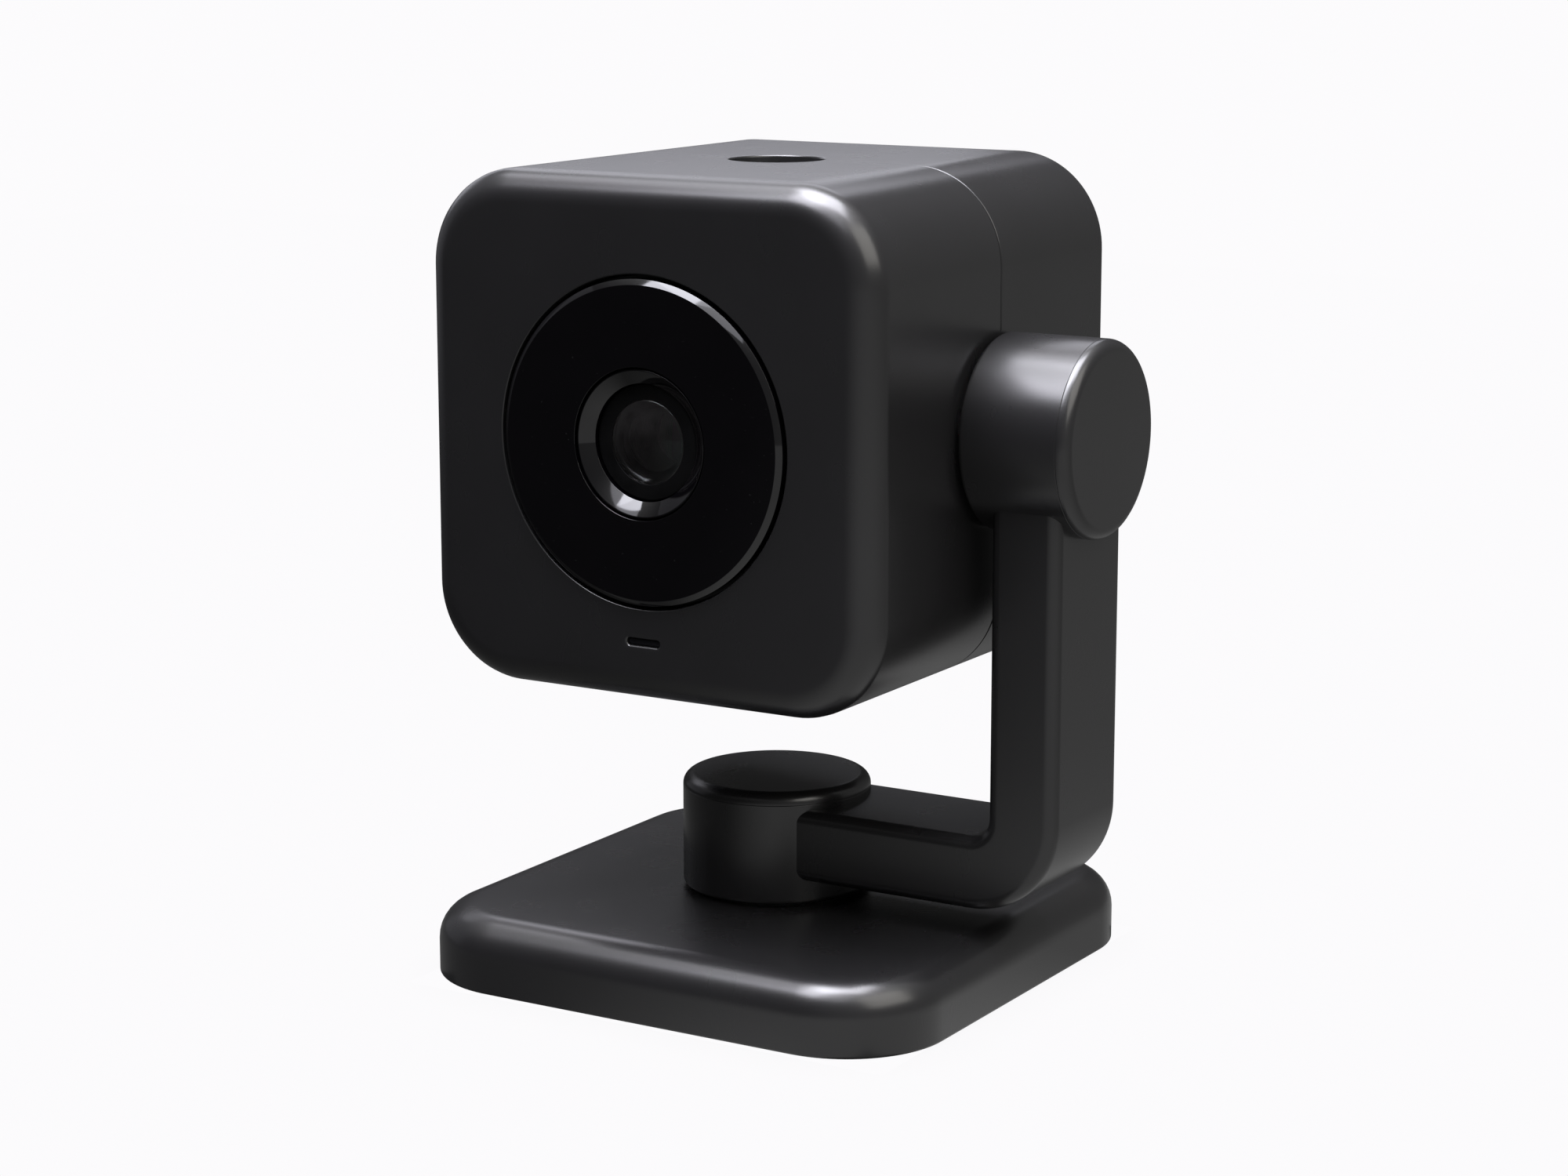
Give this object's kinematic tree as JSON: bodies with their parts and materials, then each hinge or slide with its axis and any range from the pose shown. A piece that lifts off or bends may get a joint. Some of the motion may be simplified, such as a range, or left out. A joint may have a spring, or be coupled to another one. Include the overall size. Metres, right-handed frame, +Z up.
{
  "type": "pan tilt camera mount",
  "caption": "Cube-shaped indoor camera head with a round lens window, tilting on the barrel of an L-shaped bracket that pans on a weighted square base.",
  "frame": {"origin": "on the pan axis, at the underside of the rubber foot", "axes": "+Z up along the pan axis, -Y the way the lens looks at rest, +X towards the side that carries the bracket's upright and the tilt barrel"},
  "size_m": [0.0723, 0.062, 0.0911],
  "materials": {
    "case_plastic": "satin moulded black plastic",
    "black_gloss": "polished black",
    "lens_glass": "coated lens glass",
    "black_barrel": "matt black, anti-reflective",
    "steel": "zinc plated steel",
    "ballast": "blackened steel plate",
    "brass": "turned brass",
    "washer_plastic": "natural acetal",
    "rubber": "soft non-slip rubber",
    "board": "green solder mask",
    "chip": "moulded chip package",
    "lamp": "smoked acrylic",
    "tape": "adhesive foam tape",
    "ribbon": "polyimide film"
  },
  "bodies": {
    "base": {"base_shell": "case_plastic", "base_weight": "ballast", "base_cover": "case_plastic", "foot_pad": "rubber", "base_screws": "steel", "pan_shaft": "steel", "pan_thrust_washer": "washer_plastic", "pan_pressure_washer": "steel", "pan_spring_washer": "steel", "pan_nut": "steel"},
    "arm": {"arm_bracket": "case_plastic", "hub_cap": "case_plastic", "barrel_cap": "case_plastic", "pan_friction_washer": "washer_plastic", "tilt_friction_washer": "washer_plastic"},
    "head": {"front_shell": "case_plastic", "rear_shell": "case_plastic", "case_screws": "steel", "lens_window": "black_gloss", "window_tape": "tape", "lens_trim_ring": "black_gloss", "front_lens": "lens_glass", "lens_barrel": "black_barrel", "rear_lens": "lens_glass", "lens_holder": "black_barrel", "holder_screws": "steel", "sensor_board": "board", "image_sensor": "chip", "status_led": "lamp", "light_pipe": "lamp", "board_spacers": "brass", "stack_screws": "steel", "main_board": "board", "processor_shield": "steel", "usb_socket": "steel", "ribbon_cable": "ribbon", "button_board": "board", "button_screws": "steel", "button_switch": "chip", "tilt_bracket": "steel", "bracket_screws": "steel", "tilt_shaft": "steel", "tilt_thrust_washer": "washer_plastic", "tilt_stop_washer": "steel", "tilt_spring_washer": "steel", "tilt_nut": "steel"},
    "button": {"top_button": "case_plastic"}
  },
  "joints": [
    {"name": "pan", "type": "hinge", "parent": "base", "child": "arm", "pos_m": [0, 0, 0], "axis": [0, 0, 1], "continuous": true},
    {"name": "tilt", "type": "hinge", "parent": "arm", "child": "head", "pos_m": [0, 0, 0.0631], "axis": [-1, 0, 0], "range_deg": [-75, 75]},
    {"name": "button_press", "type": "slide", "parent": "head", "child": "button", "axis": [0, 0, -1], "range_m": [0, 0.0005], "stiffness_N_per_m": 40, "springref_m": -0.0005}
  ]
}
